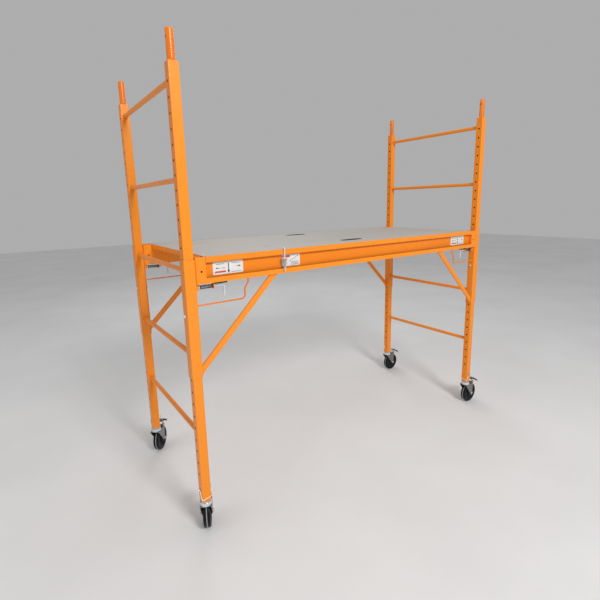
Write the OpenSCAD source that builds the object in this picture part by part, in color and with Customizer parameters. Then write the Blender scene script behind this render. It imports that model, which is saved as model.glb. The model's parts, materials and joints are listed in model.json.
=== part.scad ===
// Rolling baker scaffold: two welded end frames, an adjustable platform and four braking casters.
// X runs along the platform, Y from the front rail to the rear rail, Z up from the floor.

/* [End frames] */
// Distance between the left and right post centres
frame_length = 1834; // [1400:1:2400]
// Distance between the front and rear post centres
frame_width = 698; // [560:1:900]
// Outer width of the square post tube
post_w = 38; // [34:1:50]
// Wall of the post tube
post_wall = 2; // [1.5:0.1:2.5]
// Corner radius of the post tube
post_corner = 3; // [2.5:0.5:4]
// Length of a post
post_h = 1656; // [1300:1:2000]

/* [Height holes] */
// Diameter of the holes in the posts
hole_d = 10; // [9:0.1:12]
// Spacing of the holes
hole_pitch = 50.8; // [40:0.1:65]
// Drop from the top of a post to its first hole
top_hole_drop = 61; // [40:1:80]
// Bare length left at the foot of a post
foot_margin = 110; // [100:1:160]
// Hole that the lock pins rest in, counted down from the top hole
rest_hole = 14; // [12:1:17]
// Holes from the lock pin down to the safety pin
safety_hole_step = 2; // [1:1:4]

/* [Rungs] */
// Outer diameter of a rung
rung_d = 20; // [16:1:30]
// Wall of a rung
rung_wall = 1.5; // [1:0.1:2.5]
// Rungs in each end frame
rung_count = 5; // [3:1:7]
// Height of the lowest rung above the foot of the post
first_rung = 293; // [250:1:400]
// Drop from the top of a post to the highest rung
top_rung_drop = 51; // [30:1:80]

/* [Stacking spigots] */
// Diameter of the stacking spigot
spigot_d = 28; // [24:1:30]
// Wall of the spigot tube
spigot_wall = 2.5; // [2:0.1:4]
// Height of the spigot above the post
spigot_h = 102; // [60:1:150]
// Length of the spigot's plug inside the post
spigot_plug = 40; // [20:1:60]
// Height of the flare at the spigot's foot
spigot_flare = 8; // [4:1:15]
// Bevel at the spigot's tip
spigot_bevel = 3; // [1:0.5:5]
// Diameter of the cross hole in the spigot
spigot_hole_d = 8; // [6:0.5:10]
// Drop from the tip of the spigot to its cross hole
spigot_hole_drop = 27; // [15:1:40]

/* [Platform rails] */
// Height of a rail and the deck frame together
rail_h = 101; // [80:1:140]
// Depth of a rail from its outer to its inner face
rail_depth = 44; // [42:1:60]
// Sheet thickness of the rails and end boxes
rail_sheet = 2.5; // [2:0.5:4]
// Height of the lip along the bottom of a rail
rail_lip = 20; // [15:1:30]
// Depth of the recess in the outer face of a rail
web_recess = 18; // [10:1:25]
// Length of the box at each end of a rail
end_box = 40; // [30:1:60]
// Diameter of the accessory hole through an end box
end_hole_d = 8; // [6:0.5:14]
// Drop of the end hole below the rail's middle
end_hole_drop = 4; // [0:1:10]
// Gap between the bottom of a rail and the axis of the lock pins
pin_drop = 15.4; // [15:0.1:25]

/* [Sleeves and braces] */
// Sheet thickness of a sleeve
sleeve_wall = 2.5; // [2:0.1:4]
// Clearance between a sleeve and its post
sleeve_gap = 0.5; // [0.3:0.1:1.5]
// Length of a sleeve
sleeve_h = 458; // [380:1:520]
// Drop from the deck to the top of a sleeve
sleeve_drop = 7; // [2:1:15]
// Bend radius on the outside of a sleeve
sleeve_bend = 4; // [3:0.5:6]
// Width of the brace tube's broad face
brace_w = 25; // [20:1:28]
// Depth of the brace tube from front to back
brace_depth = 10; // [8:1:16]
// Set-back of the brace from the sleeve's outer face
brace_set = 7; // [5:1:12]
// Wall of the brace tube
brace_wall = 1.5; // [1:0.1:2.5]
// Corner radius of the brace tube
brace_corner = 2.5; // [2:0.5:3]
// Reach of a brace along the rail, from the post centre
brace_reach = 378; // [300:1:420]
// Diameter of the guard rod under a lock pin
guard_d = 6; // [4:1:8]
// Reach of the guard rod along the rail, from the post centre
guard_reach = 240; // [225:1:280]
// Depth of the guard rod below the rail
guard_drop = 82; // [70:1:110]
// Sideways jog in the guard rod
guard_jog = 17; // [8:1:22]
// Bend radius of the guard rod
guard_bend = 16; // [10:1:24]

/* [Deck] */
// Height of the deck's edge frame
deck_edge_h = 21; // [18:1:30]
// Width of the ledge inside the edge frame
deck_ledge = 28; // [20:1:40]
// Gap between the deck and an end box
deck_gap = 1; // [0.5:0.5:4]
// Gap around the plywood panel
panel_gap = 0.5; // [0.3:0.1:2]
// Width of the square bars under the panel
deck_bar_w = 25; // [20:1:30]
// Wall of the bars under the panel
deck_bar_wall = 2; // [1.5:0.5:3]
// Bars under the panel
deck_bars = 4; // [2:2:6]
// Length of a hand slot in the panel
slot_len = 130; // [90:1:160]
// Width of a hand slot
slot_w = 36; // [25:1:45]
// Distance of the hand slots from the middle of the panel
slot_y = 250; // [180:1:270]

/* [Lock pins] */
// Diameter of a lock pin
pin_d = 9.6; // [8:0.1:11]
// Running clearance around a pin, on the radius
pin_gap = 0.1; // [0.05:0.01:0.2]
// Depth of a lock pin past the centre of the post
pin_reach = 8; // [4:1:12]
// Length of the guide bush on the sleeve
bush_len = 11; // [8:1:14]
// Outer diameter of a lock spring
spring_d = 16; // [14:0.5:17]
// Wire diameter of a lock spring
spring_wire = 2.2; // [1.5:0.1:2.6]
// Length of a lock spring
spring_len = 54; // [45:1:70]
// Turns of a lock spring
spring_turns = 13; // [8:1:20]
// Diameter of a lock pin's handle
handle_d = 7; // [5:0.5:8]
// Distance from the post centre to the handle
handle_reach = 140; // [130:1:160]
// Length of the handle below the pin
handle_drop = 44; // [30:1:60]
// Thickness of the black guide bar under a rail
guide_bar_h = 7; // [5:0.1:10]
// Far end of the guide bar, from the post centre
guide_bar_reach = 148; // [130:1:180]
// Pull that frees a lock pin
pin_pull = 20; // [18:1:24]

/* [Safety pins] */
// Diameter of a safety pin's head
safety_head_d = 15; // [12:0.5:20]
// Height of a safety pin's head
safety_head_h = 7; // [4:0.5:10]
// Length that a safety pin stands out past the sleeve
safety_tail = 9; // [5:1:15]

/* [Deck latch] */
// Distance from the left post centre to the latch
latch_reach = 407; // [300:1:700]
// Diameter of the latch rod
latch_d = 6; // [5:0.5:8]
// Gap between the latch rod and the rail
latch_gap = 1.5; // [1:0.5:4]
// Width of the latch bracket
latch_bracket_w = 18; // [14:1:25]
// Length of the latch spring
latch_spring_len = 26; // [22:1:35]
// Outer diameter of the latch spring
latch_spring_d = 11; // [10:0.5:14]
// Diameter of the knob on the hook
latch_knob_d = 9; // [7:0.5:12]

/* [Labels] */
// Height of a label
label_h = 50; // [30:1:60]
// Thickness of a label
label_t = 0.4; // [0.2:0.1:1]

/* [Casters] */
// Height from the floor to the foot of a post
caster_h = 152; // [140:1:180]
// Diameter of a wheel
wheel_d = 125; // [100:1:130]
// Width of the tread
wheel_w = 32; // [25:1:36]
// Distance from the swivel axis to the axle
trail = 38; // [30:1:45]
// Diameter of the axle
axle_d = 10; // [8:0.5:12]
// Outer width of the fork
fork_w = 48; // [44:1:60]
// Sheet thickness of the fork
fork_sheet = 2.8; // [2:0.1:4]
// Diameter of the swivel head
head_d = 46; // [40:1:50]
// Diameter of the kingpin
kingpin_d = 12; // [10:1:16]
// Running clearance on the radius of a pivot
pivot_gap = 0.05; // [0.02:0.01:0.1]
// Length of the stem inside the post
stem_len = 90; // [60:1:100]
// Height of the caster pin above the foot of the post
caster_pin_z = 50; // [45:1:60]
// Diameter of the caster pin
caster_pin_d = 8; // [6:0.5:9]
// Diameter of the wire bail
bail_d = 3; // [2:0.5:4]
// Length of the brake pedal from the swivel axis
pedal_reach = 118; // [112:1:130]
// Width of the brake pedal
pedal_w = 38; // [30:1:40]

/* [Caster headings] */
// Heading of the front left caster, in degrees from +X
heading_front_left = 66; // [0:1:359]
// Heading of the front right caster
heading_front_right = 0; // [0:1:359]
// Heading of the rear left caster
heading_rear_left = 52; // [0:1:359]
// Heading of the rear right caster
heading_rear_right = 2; // [0:1:359]

/* [Hidden] */
$fn = 48;
eps = 1;
half_length = frame_length / 2;
half_width = frame_width / 2;
post_top = caster_h + post_h;
tube_inner = post_w - 2 * post_wall;
hole_count = floor((post_h - top_hole_drop - foot_margin) / hole_pitch) + 1;
rung_pitch = (post_h - first_rung - top_rung_drop) / (rung_count - 1);
fit_gap = 0.2;

// Heights of the platform, which follow the hole that the lock pins rest in
pin_z = post_top - top_hole_drop - rest_hole * hole_pitch;
safety_z = pin_z - safety_hole_step * hole_pitch;
rail_z = pin_z + pin_drop;
deck_z = rail_z + rail_h;
ledge_z = deck_z - deck_edge_h;

// Sleeve outline: half its width, and the same distance out to the face of the rail
sleeve_out = post_w / 2 + sleeve_gap + sleeve_wall;
sleeve_in = post_w / 2 + sleeve_gap;
rail_inner = rail_depth - sleeve_out;
box_end = sleeve_out + end_box;
rail_len = frame_length - 2 * box_end;

// Deck
deck_half_x = half_length - box_end - deck_gap;
deck_half_y = half_width + sleeve_out;
panel_x = deck_half_x - rail_sheet - panel_gap;
panel_y = deck_half_y - rail_sheet - panel_gap;
panel_z = ledge_z + rail_sheet;
bar_half_y = half_width - rail_inner - deck_gap;
slot_x = -20;

// Lock pin, along the corner's inward X axis
bush_end = sleeve_out + bush_len;
collar_x = bush_end + 3;
collar_t = 3;
tab_x = collar_x + collar_t + spring_len;
tab_t = 3;
shank_end = tab_x - pin_pull - 3;
tab_drop = 10;

// Latch
latch_x = -half_length + latch_reach;
latch_y = -half_width - sleeve_out - latch_gap - latch_d / 2;
latch_lug_t = 4;
latch_nut_h = 5;
washer_t = 3;
washer_z = rail_z + rail_lip + latch_nut_h + 1;
latch_lug_z = washer_z + washer_t + latch_spring_len;
hook_z = deck_z + 0.3 + latch_d / 2;
latch_pull = 14;
latch_tail = 17;

// Casters
axle_z = wheel_d / 2;
flange_h = 4;
swivel_gap = 0.3;
crown_z = wheel_d + 3;
crown_t = 3;
head_top = caster_h - flange_h - swivel_gap;
fork_in = fork_w / 2 - fork_sheet;
crown_front = head_d / 2 - 1;
crown_back = 34;
pedal_x = 46;
pedal_z = 138;
pedal_pin_d = 6;
pedal_sheet = 3;

// The origin lies on the floor under the middle of the overall box
reach_right = half_length + pedal_reach;
reach_left = half_length + sleeve_out + safety_head_h;
reach_rear = half_width + pedal_reach * sin(heading_rear_left) + pedal_w / 2 * cos(heading_rear_left);
reach_front = half_width + sleeve_out + latch_gap + latch_d;
origin_x = (reach_right - reach_left) / 2;
origin_y = (reach_rear - reach_front) / 2;

orange = "darkorange";
zinc = "lightgray";
steel = "silver";
black = "dimgray";

// ---------- places ----------

module at_frame() translate([-origin_x, -origin_y, 0]) children();

// A corner's own axes: +X towards the middle of the scaffold, +Y towards the rungs
module at_corner(side, end) {
    at_frame() translate([side * half_length, end * half_width, 0])
        mirror([side > 0 ? 1 : 0, 0, 0]) mirror([0, end > 0 ? 1 : 0, 0]) children();
}

module at_post(side, end, turn = 0) {
    at_frame() translate([side * half_length, end * half_width, 0]) rotate([0, 0, turn]) children();
}

module all_corners() for (side = [-1, 1], end = [-1, 1]) at_corner(side, end) children();

function heading(side, end) =
    side < 0 ? (end < 0 ? heading_front_left : heading_rear_left)
             : (end < 0 ? heading_front_right : heading_rear_right);

// The bail of a caster pin lies on the front face, the left face or the rear face
function pin_turn(side, end) = end > 0 ? 180 : (side > 0 ? -90 : 0);

// ---------- shared shapes ----------

module rounded_square(w, r) {
    square([w - 2 * r, w], center = true);
    square([w, w - 2 * r], center = true);
    for (x = [-1, 1], y = [-1, 1]) translate([x * (w / 2 - r), y * (w / 2 - r)]) circle(r);
}

module flat_tube(w, depth, wall, r, h) {
    linear_extrude(h) difference() {
        offset(r) square([w - 2 * r, depth - 2 * r], center = true);
        offset(max(r - wall, 0.5))
            square([w - 2 * max(r, wall + 0.5), depth - 2 * max(r, wall + 0.5)], center = true);
    }
}

module square_tube(w, wall, r, h) {
    linear_extrude(h) difference() {
        rounded_square(w, r);
        rounded_square(w - 2 * wall, max(r - wall, 0.5));
    }
}

module cylinder_x(d, x0, x1) translate([x0, 0, 0]) rotate([0, 90, 0]) cylinder(d = d, h = x1 - x0);

module cylinder_y(d, y0, y1) translate([0, y1, 0]) rotate([90, 0, 0]) cylinder(d = d, h = y1 - y0);

// A straight length of wire between two points
module wire(d, a, b) {
    v = b - a;
    translate(a) rotate([0, acos(v.z / norm(v)), atan2(v.y, v.x)]) cylinder(d = d, h = norm(v));
}

// Wire along a list of points, slightly fuller where it bends
module wire_path(d, points) {
    for (i = [1:len(points) - 1]) wire(d, points[i - 1], points[i]);
    for (i = [1:len(points) - 2]) translate(points[i]) sphere(d = d * 1.12);
}

// A coil spring along +Z, drawn as the closed outline of its turns
module spring_body(d, wire_d, len, turns) {
    step = (len - wire_d) / (turns - 1);
    rotate_extrude() {
        for (i = [0:turns - 1])
            translate([d / 2 - wire_d / 2, wire_d / 2 + i * step]) circle(d = wire_d, $fn = 16);
        translate([d / 2 - wire_d * 0.7, wire_d / 2]) square([wire_d * 0.4, len - wire_d]);
    }
}

// ---------- end frames ----------

module post(side, end) {
    color(orange) at_post(side, end) difference() {
        translate([0, 0, caster_h]) square_tube(post_w, post_wall, post_corner, post_h);
        for (k = [0:hole_count - 1])
            translate([0, 0, post_top - top_hole_drop - k * hole_pitch])
                cylinder_x(hole_d, -post_w / 2 - eps, post_w / 2 + eps);
        translate([0, 0, caster_h + caster_pin_z]) rotate([0, 0, pin_turn(side, end)])
            cylinder_x(caster_pin_d + 2 * fit_gap, -post_w / 2 - eps, post_w / 2 + eps);
    }
}

module frame_rungs() {
    color(orange) at_frame() for (side = [-1, 1], k = [0:rung_count - 1])
        translate([side * half_length, 0, caster_h + first_rung + k * rung_pitch]) difference() {
            cylinder_y(rung_d, -half_width + post_w / 2, half_width - post_w / 2);
            cylinder_y(rung_d - 2 * rung_wall, -half_width, half_width);
        }
}

module stacking_spigots() {
    color(orange) for (side = [-1, 1], end = [-1, 1]) at_post(side, end) translate([0, 0, post_top])
        difference() {
            union() {
                translate([0, 0, -spigot_plug]) linear_extrude(spigot_plug)
                    rounded_square(tube_inner - 2 * fit_gap, post_corner - post_wall + 0.5);
                cylinder(d1 = tube_inner, d2 = spigot_d, h = spigot_flare);
                cylinder(d = spigot_d, h = spigot_h - spigot_bevel);
                translate([0, 0, spigot_h - spigot_bevel])
                    cylinder(d1 = spigot_d, d2 = spigot_d - 2 * spigot_bevel / 2, h = spigot_bevel);
            }
            translate([0, 0, -spigot_plug - eps])
                cylinder(d = spigot_d - 2 * spigot_wall, h = spigot_plug + spigot_h + 2 * eps);
            translate([0, 0, spigot_h - spigot_hole_drop])
                cylinder_x(spigot_hole_d, -spigot_d, spigot_d);
        }
}

module caster_stems() {
    rivet_h = 3;
    color(zinc) for (side = [-1, 1], end = [-1, 1]) at_post(side, end) difference() {
        union() {
            translate([0, 0, caster_h]) cylinder(d = tube_inner - 2 * fit_gap, h = stem_len);
            translate([0, 0, caster_h - flange_h]) cylinder(d = head_d - 2, h = flange_h);
            translate([0, 0, crown_z - swivel_gap]) cylinder(d = kingpin_d, h = caster_h - crown_z);
            translate([0, 0, crown_z - swivel_gap - rivet_h])
                cylinder(d = kingpin_d + 8, h = rivet_h);
        }
        translate([0, 0, caster_h + caster_pin_z]) rotate([0, 0, pin_turn(side, end)])
            cylinder_x(caster_pin_d + 2 * fit_gap, -post_w, post_w);
    }
}

// ---------- platform ----------

// A folded rail: a recessed web, a lip along the bottom, and a flat top that carries the deck
module rail(end) {
    seat_h = rail_h - deck_edge_h;
    color(orange) at_frame() translate([0, end * half_width, 0]) mirror([0, end > 0 ? 1 : 0, 0])
        translate([-rail_len / 2, -sleeve_out, rail_z]) {
            translate([0, web_recess, 0]) cube([rail_len, rail_sheet, seat_h]);
            translate([0, rail_depth - rail_sheet, 0]) cube([rail_len, rail_sheet, seat_h]);
            cube([rail_len, rail_depth, rail_sheet]);
            cube([rail_len, rail_sheet, rail_lip]);
            translate([0, rail_sheet, seat_h - rail_sheet])
                cube([rail_len, rail_depth - rail_sheet, rail_sheet]);
        }
}

module rail_end_boxes() {
    color(orange) all_corners() difference() {
        translate([sleeve_out, -sleeve_out, rail_z]) cube([end_box, rail_depth, rail_h]);
        translate([sleeve_out + rail_sheet, -sleeve_out + rail_sheet, rail_z - eps])
            cube([end_box - 2 * rail_sheet, rail_depth - 2 * rail_sheet, rail_h + 2 * eps]);
        translate([sleeve_out + end_box / 2 + 2, 0, rail_z + rail_h / 2 - end_hole_drop])
            cylinder_y(end_hole_d, -rail_depth, rail_depth);
    }
}

// A bent channel that wraps three sides of the post and is open towards the rungs
module sleeve(side, end) {
    inner_bend = sleeve_bend - sleeve_wall;
    color(orange) at_corner(side, end) difference() {
        translate([0, 0, deck_z - sleeve_drop - sleeve_h]) linear_extrude(sleeve_h) difference() {
            union() {
                translate([-sleeve_out, -sleeve_out + sleeve_bend])
                    square([2 * sleeve_out, sleeve_out - sleeve_bend + post_w / 2]);
                translate([-sleeve_out + sleeve_bend, -sleeve_out])
                    square([2 * (sleeve_out - sleeve_bend), sleeve_bend + eps]);
                for (x = [-1, 1])
                    translate([x * (sleeve_out - sleeve_bend), -sleeve_out + sleeve_bend])
                        circle(sleeve_bend);
            }
            translate([-sleeve_in, -sleeve_in + inner_bend])
                square([2 * sleeve_in, sleeve_in + post_w]);
            translate([-sleeve_in + inner_bend, -sleeve_in])
                square([2 * (sleeve_in - inner_bend), inner_bend + eps]);
            for (x = [-1, 1])
                translate([x * (sleeve_in - inner_bend), -sleeve_in + inner_bend])
                    circle(inner_bend);
        }
        translate([0, 0, pin_z]) cylinder_x(pin_d + 2 * pin_gap, 0, sleeve_out + eps);
        translate([0, 0, safety_z])
            cylinder_x(pin_d + 2 * pin_gap, -sleeve_out - eps, sleeve_out + eps);
    }
}

module rail_braces() {
    slant_w = brace_w * sqrt(2);
    run = brace_reach - sleeve_out;
    color(orange) all_corners() intersection() {
        translate([brace_reach - slant_w / 2, -sleeve_out + brace_set + brace_depth / 2, rail_z])
            rotate([0, -135, 0]) translate([0, 0, -brace_w])
                flat_tube(brace_w, brace_depth, brace_wall, brace_corner, run * sqrt(2) + 2 * brace_w);
        translate([sleeve_out, -post_w, rail_z - run])
            cube([run, 2 * post_w, run]);
    }
}

module pin_guards() {
    guard_y = -sleeve_out / 2;
    low_z = rail_z - guard_drop;
    low_x = guard_reach - guard_jog;
    top = [guard_reach, guard_y, rail_z];
    jog_top = [guard_reach, guard_y, rail_z - guard_drop / 5];
    jog_end = [low_x, guard_y, rail_z - guard_drop / 2];
    corner = [low_x, guard_y, low_z + guard_bend];
    color(orange) all_corners() {
        wire_path(guard_d, [top, jog_top, jog_end, corner]);
        translate([low_x - guard_bend, guard_y, low_z + guard_bend]) rotate([90, 0, 0])
            rotate([0, 0, -90]) rotate_extrude(angle = 90) translate([guard_bend, 0])
                circle(d = guard_d);
        translate([0, guard_y, low_z]) cylinder_x(guard_d, sleeve_out, low_x - guard_bend);
    }
}

// The guide bush on the sleeve and the tab that the spring pushes against
module lock_pin_brackets() {
    color(orange) all_corners() translate([0, 0, pin_z]) {
        difference() {
            translate([sleeve_out, -tab_drop, -tab_drop])
                cube([bush_len, 2 * tab_drop, tab_drop + pin_drop]);
            cylinder_x(pin_d + 2 * pin_gap, 0, tab_x);
        }
        difference() {
            translate([tab_x, -tab_drop, -tab_drop])
                cube([tab_t, 2 * tab_drop, tab_drop + pin_drop]);
            cylinder_x(handle_d + 2 * pin_gap, 0, 2 * tab_x);
        }
    }
}

module pin_guide_bars() {
    bar_w = 26;
    bar_start = tab_x + tab_t + 1;
    color(black) all_corners() translate([bar_start, -bar_w / 2, rail_z - guide_bar_h])
        cube([guide_bar_reach - bar_start, bar_w, guide_bar_h]);
}

// ---------- deck ----------

module deck_frame() {
    color(orange) at_frame() translate([0, 0, ledge_z]) {
        linear_extrude(deck_edge_h) difference() {
            square([2 * deck_half_x, 2 * deck_half_y], center = true);
            square([2 * (deck_half_x - rail_sheet), 2 * (deck_half_y - rail_sheet)], center = true);
        }
        linear_extrude(rail_sheet) difference() {
            square([2 * deck_half_x, 2 * deck_half_y], center = true);
            square([2 * (deck_half_x - deck_ledge), 2 * (deck_half_y - deck_ledge)], center = true);
        }
    }
}

module hand_slot() {
    square([slot_len - slot_w, slot_w], center = true);
    for (x = [-1, 1]) translate([x * (slot_len - slot_w) / 2, 0]) circle(d = slot_w);
}

module deck_panel() {
    color("tan") at_frame() translate([0, 0, panel_z]) linear_extrude(deck_z - panel_z)
        difference() {
            square([2 * panel_x, 2 * panel_y], center = true);
            for (y = [-slot_y, slot_y]) translate([slot_x, y]) hand_slot();
        }
}

// Square bars that cross under the panel, clear of the hand slots
module deck_bars() {
    spread = 2 * panel_x / (deck_bars + 1);
    color(orange) at_frame() for (i = [1:deck_bars])
        translate([-panel_x + i * spread, bar_half_y, panel_z - deck_bar_w / 2])
            rotate([90, 0, 0])
                square_tube(deck_bar_w, deck_bar_wall, brace_corner, 2 * bar_half_y);
}

// Plain stickers on the web of the front rail
module rail_labels() {
    web_face = -half_width - sleeve_out + web_recess;
    centre_z = rail_z + rail_lip + (rail_h - rail_lip - deck_edge_h) / 2;
    notch_w = latch_bracket_w + 2;
    places = [[-half_length + 161, 130], [-half_length + 454, 96], [half_length - 184, 130]];
    color("white") at_frame() difference() {
        for (place = places)
            translate([place[0] - place[1] / 2, web_face - label_t, centre_z - label_h / 2])
                cube([place[1], label_t, label_h]);
        translate([latch_x - notch_w / 2, web_face - 2 * label_t, latch_lug_z - 1])
            cube([notch_w, 3 * label_t, latch_lug_t + 2]);
    }
}

// ---------- pins ----------

module lock_pin(side, end) {
    bend_r = 10;
    tip_bevel = 2;
    color(steel) at_corner(side, end) translate([0, 0, pin_z]) {
        translate([pin_reach, 0, 0]) rotate([0, 90, 0])
            cylinder(d1 = pin_d - 2 * tip_bevel, d2 = pin_d, h = tip_bevel);
        cylinder_x(pin_d, pin_reach + tip_bevel, shank_end);
        cylinder_x(spring_d - 1, collar_x, collar_x + collar_t);
        cylinder_x(handle_d, shank_end, handle_reach - bend_r);
        translate([handle_reach - bend_r, 0, -bend_r]) rotate([90, 0, 0])
            rotate_extrude(angle = 90) translate([bend_r, 0]) circle(d = handle_d);
        translate([handle_reach, 0, -handle_drop])
            cylinder(d = handle_d, h = handle_drop - bend_r);
    }
}

module lock_spring(side, end) {
    color(steel) at_corner(side, end)
        translate([collar_x + collar_t + fit_gap, 0, pin_z]) rotate([0, 90, 0])
            spring_body(spring_d, spring_wire, spring_len - 2 * fit_gap, spring_turns);
}

module safety_pin(side, end) {
    rim = 2;
    color(steel) at_corner(side, end) translate([0, 0, safety_z]) {
        cylinder_x(pin_d, -sleeve_out - eps, sleeve_out + safety_tail);
        cylinder_x(safety_head_d, -sleeve_out - rim, -sleeve_out);
        translate([-sleeve_out - rim, 0, 0]) rotate([0, -90, 0])
            cylinder(d1 = safety_head_d, d2 = safety_head_d / 2, h = safety_head_h - rim);
    }
}

// A straight pin through the post and the stem, with a wire bail round the face of the post
module caster_pin(side, end) {
    pin_end = post_w / 2 + 8;
    arm_x = post_w / 2 + bail_d / 2 + 1;
    arm_y = -post_w / 2 - bail_d / 2 - 1;
    low = -42;
    high = -24;
    color(steel) at_post(side, end, pin_turn(side, end)) mirror([side > 0 ? 1 : 0, 0, 0])
        translate([0, 0, caster_h + caster_pin_z]) {
            cylinder_x(caster_pin_d, -pin_end, pin_end);
            cylinder_x(caster_pin_d + 4, -pin_end - 3, -pin_end);
            wire_path(bail_d, [[-arm_x, 0, 0], [-arm_x, arm_y, low], [arm_x, arm_y, high], [arm_x, 0, 0]]);
        }
}

// ---------- deck latch ----------

module at_latch() at_frame() translate([latch_x, latch_y, 0]) children();

// A strap from the web of the rail out to the latch rod
module latch_bracket() {
    web_y = web_recess - sleeve_out - half_width - latch_y;
    color(zinc) at_latch() difference() {
        translate([0, 0, latch_lug_z]) linear_extrude(latch_lug_t) {
            circle(d = latch_bracket_w);
            translate([-latch_bracket_w / 2, 0]) square([latch_bracket_w, web_y]);
        }
        translate([0, 0, latch_lug_z - eps])
            cylinder(d = latch_d + 2 * pin_gap, h = latch_lug_t + 2 * eps);
    }
}

// The hook reaches over the edge of the deck frame and stops short of the panel
module latch_rod() {
    arm = latch_gap + latch_d / 2 + rail_sheet - 0.5;
    color(steel) at_latch() {
        translate([0, 0, washer_z - latch_tail])
            cylinder(d = latch_d, h = hook_z - washer_z + latch_tail);
        translate([0, 0, washer_z - latch_nut_h])
            cylinder(d = latch_d * 1.9, h = latch_nut_h, $fn = 6);
        translate([0, 0, hook_z]) sphere(d = latch_knob_d);
        translate([0, 0, hook_z]) cylinder_y(latch_d, 0, arm);
    }
}

module latch_washer() {
    color(zinc) at_latch() translate([0, 0, washer_z]) difference() {
        cylinder(d = latch_spring_d + 2, h = washer_t);
        translate([0, 0, -eps]) cylinder(d = latch_d + 2 * pin_gap, h = washer_t + 2 * eps);
    }
}

module latch_spring() {
    wire_d = 1.4;
    color(steel) at_latch() translate([0, 0, washer_z + washer_t + fit_gap])
        spring_body(latch_spring_d, wire_d, latch_spring_len - 2 * fit_gap, 8);
}

// ---------- casters ----------

module at_caster(side, end) at_post(side, end, heading(side, end)) children();

// Outline of a fork leg, seen from the side, with the ear that carries the pedal
module fork_leg() {
    polygon([
        [-crown_front, crown_z + crown_t], [-crown_front, crown_z - 4],
        [trail - 9, axle_z - 5], [trail + 10.5, axle_z - 3],
        [pedal_x + 8, pedal_z - 8], [pedal_x - 6, pedal_z + 4],
        [crown_back, crown_z + crown_t]]);
    translate([trail, axle_z]) circle(11);
    translate([pedal_x, pedal_z]) circle(10);
}

module fork(side, end) {
    bevel = 4;
    color(zinc) at_caster(side, end) difference() {
        union() {
            translate([0, 0, crown_z]) cylinder(d = head_d, h = head_top - crown_z - bevel);
            translate([0, 0, head_top - bevel])
                cylinder(d1 = head_d, d2 = head_d - 2 * bevel, h = bevel);
            translate([-crown_front, -fork_w / 2, crown_z])
                cube([crown_front + crown_back, fork_w, crown_t]);
            for (y = [-fork_w / 2 + fork_sheet, fork_w / 2])
                translate([0, y, 0]) rotate([90, 0, 0]) linear_extrude(fork_sheet) fork_leg();
        }
        translate([0, 0, crown_z - eps])
            cylinder(d = kingpin_d + 2 * pivot_gap, h = caster_h);
        translate([trail, 0, axle_z]) cylinder_y(axle_d + 2 * pin_gap, -fork_w, fork_w);
        translate([pedal_x, 0, pedal_z]) cylinder_y(pedal_pin_d + 2 * pivot_gap, -fork_w, fork_w);
    }
}

module wheel(side, end) {
    hub = fork_in - swivel_gap;
    half = wheel_w / 2;
    r = wheel_d / 2;
    dish = half - 5;
    crown = [for (a = [-60:15:60]) [r - 7 + 7 * cos(a), (half - 7 * sin(60)) * sign(a) + 7 * sin(a)]];
    side_in = [[axle_d / 2 + pivot_gap, -hub], [14, -hub], [16, -dish], [r * 0.68, -dish], [r * 0.76, -half]];
    side_out = [for (i = [len(side_in) - 1:-1:0]) [side_in[i][0], -side_in[i][1]]];
    color("black") at_caster(side, end) translate([trail, 0, axle_z]) rotate([90, 0, 0])
        rotate_extrude($fn = 96) polygon(concat(side_in, crown, side_out));
}

module axle(side, end) {
    head_h = 5;
    color(steel) at_caster(side, end) translate([trail, 0, axle_z]) {
        cylinder_y(axle_d, -fork_w / 2 - head_h, fork_w / 2 + head_h);
        cylinder_y(axle_d * 1.6, -fork_w / 2 - head_h, -fork_w / 2);
        translate([0, fork_w / 2 + head_h, 0]) rotate([90, 0, 0])
            cylinder(d = axle_d * 1.7, h = head_h, $fn = 6);
    }
}

// A folded pedal: a stop tab, a shelf and a sloping toe plate between two cheeks, with a shoe below
module pedal(side, end) {
    tab = [50, 170];
    knee = [53, 154];
    shelf = [67, 152];
    toe = [pedal_reach, 121];
    shoe_r = 3;
    shoe_z = pedal_z - 9;
    color(steel) at_caster(side, end) {
        translate([0, pedal_w / 2, 0]) rotate([90, 0, 0]) linear_extrude(pedal_w)
            polygon([
                [tab.x - pedal_sheet, tab.y], [knee.x - pedal_sheet, knee.y - pedal_sheet],
                [shelf.x - 1, shelf.y - pedal_sheet], [toe.x - 1, toe.y - pedal_sheet],
                toe, shelf, knee, tab]);
        for (y = [-pedal_w / 2 + pedal_sheet, pedal_w / 2])
            translate([0, y, 0]) rotate([90, 0, 0]) linear_extrude(pedal_sheet) {
                translate([pedal_x, pedal_z]) circle(8);
                polygon([[pedal_x - 5, pedal_z], [pedal_x + 6, pedal_z - 2],
                    [shelf.x - 1, shelf.y - 1], [knee.x - 1, knee.y - 1]]);
            }
        translate([pedal_x, 0, pedal_z]) cylinder_y(pedal_pin_d, -fork_w / 2, fork_w / 2);
        translate([pedal_x + shoe_r, 0, shoe_z])
            cylinder_y(2 * shoe_r, -pedal_w / 2 + pedal_sheet, pedal_w / 2 - pedal_sheet);
        translate([pedal_x + 1, -pedal_w / 2 + 1, shoe_z])
            cube([2 * shoe_r - 2, pedal_w - 2, pedal_z - shoe_z]);
    }
}

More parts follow.
